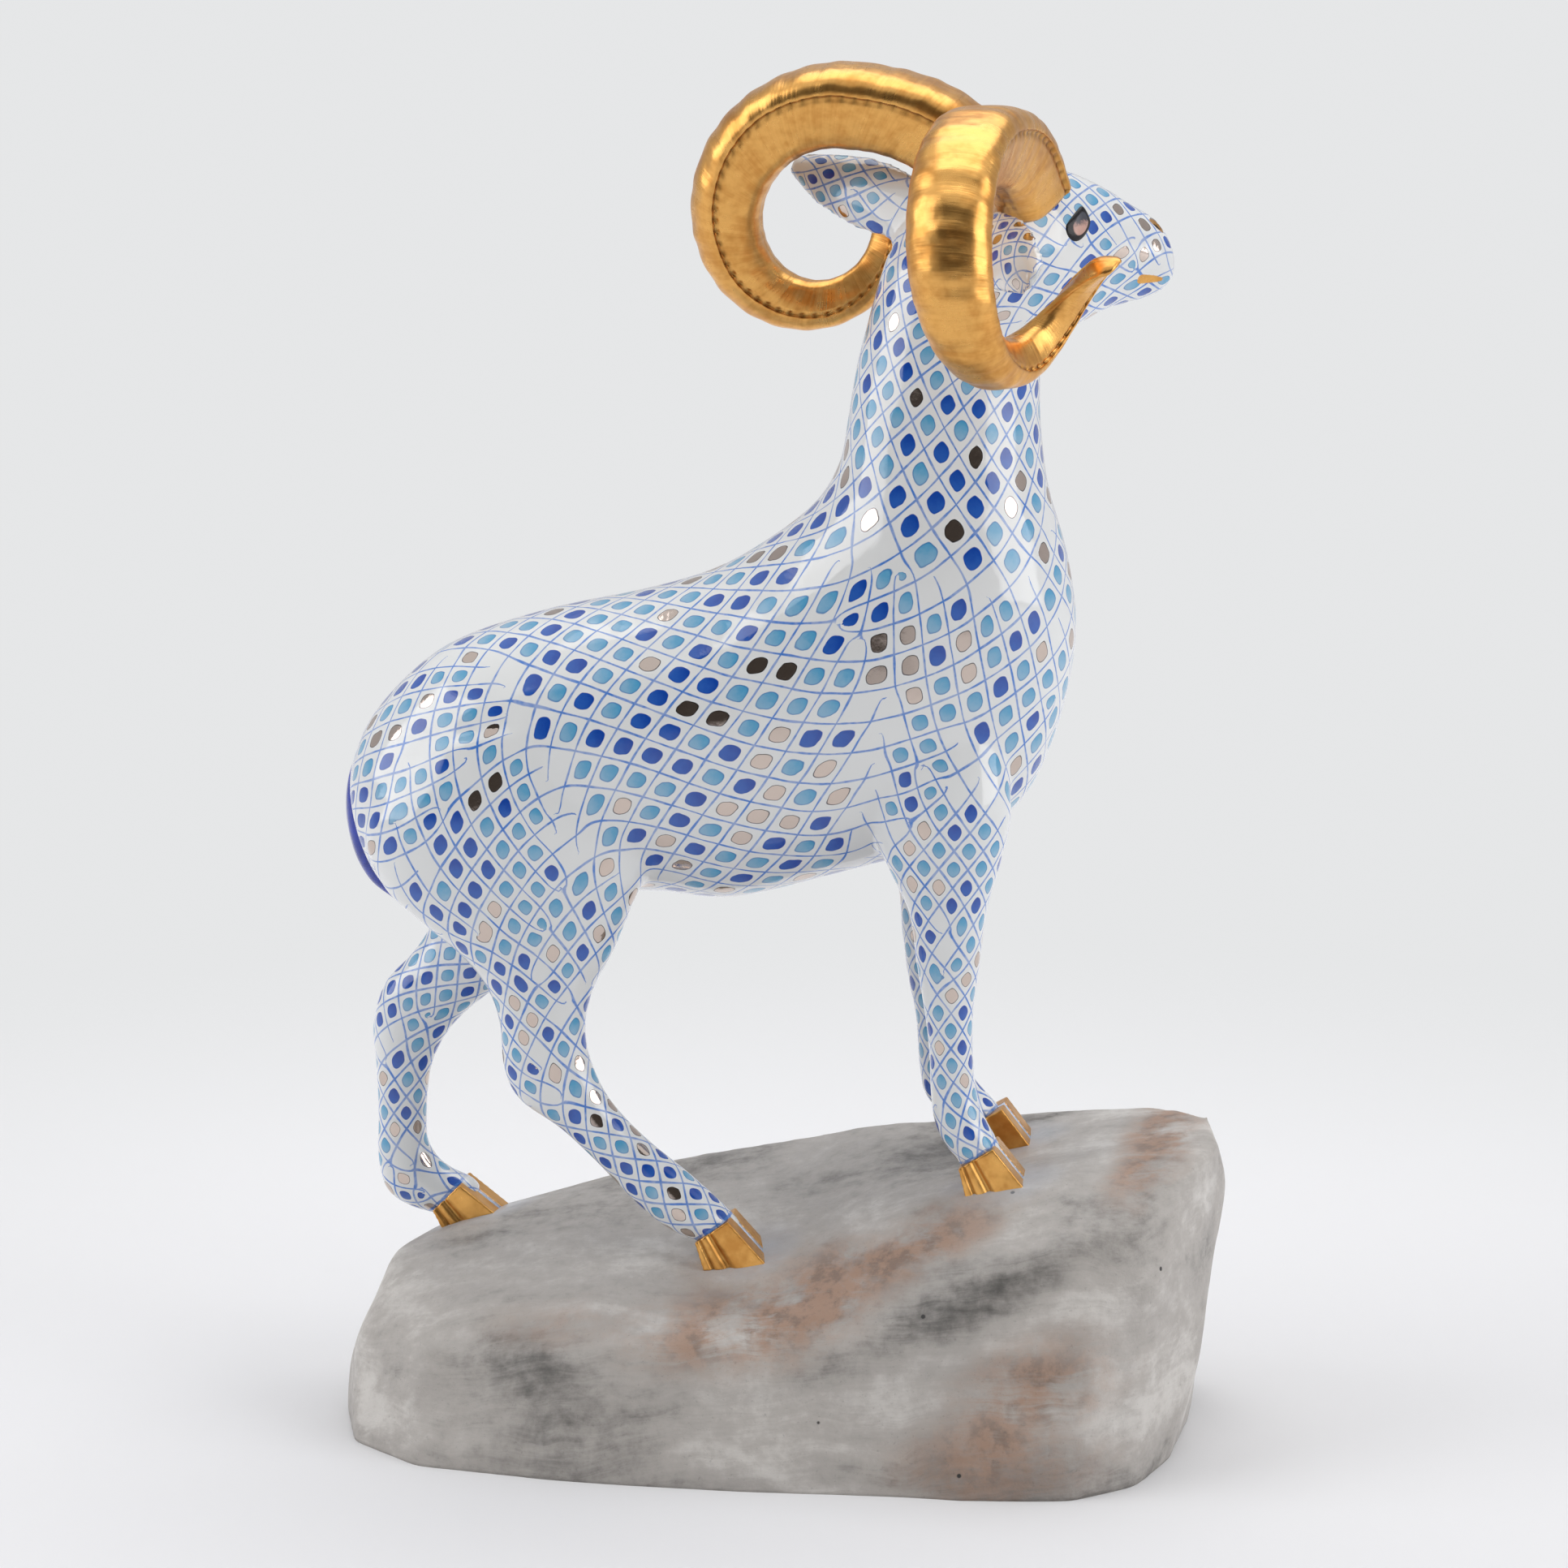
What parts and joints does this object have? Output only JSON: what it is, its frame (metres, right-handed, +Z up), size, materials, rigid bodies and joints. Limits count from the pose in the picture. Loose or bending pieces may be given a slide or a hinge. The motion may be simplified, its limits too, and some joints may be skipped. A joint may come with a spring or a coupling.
{
  "type": "porcelain ram figurine",
  "caption": "Porcelain ram with curled gilt horns and a painted lattice coat, standing on a sloping rock, for a shelf or table.",
  "frame": {"origin": "middle of the figurine's box on the plane that the rock's foot rests on", "axes": "+X the way the ram's body faces, +Y towards the ram's left, +Z up"},
  "size_m": [0.1612, 0.1064, 0.2474],
  "materials": {
    "porcelain": "glossy white glaze with a hand-painted blue lattice",
    "rock_paint": "matt grey marbled paint",
    "gilding": "burnished gold over the glaze",
    "platinum": "bright platinum lustre spots",
    "cobalt": "glossy royal blue glaze",
    "eye_paint": "glossy painted eye"
  },
  "bodies": {
    "root": {"ram_figurine": "porcelain"}
  },
  "joints": []
}
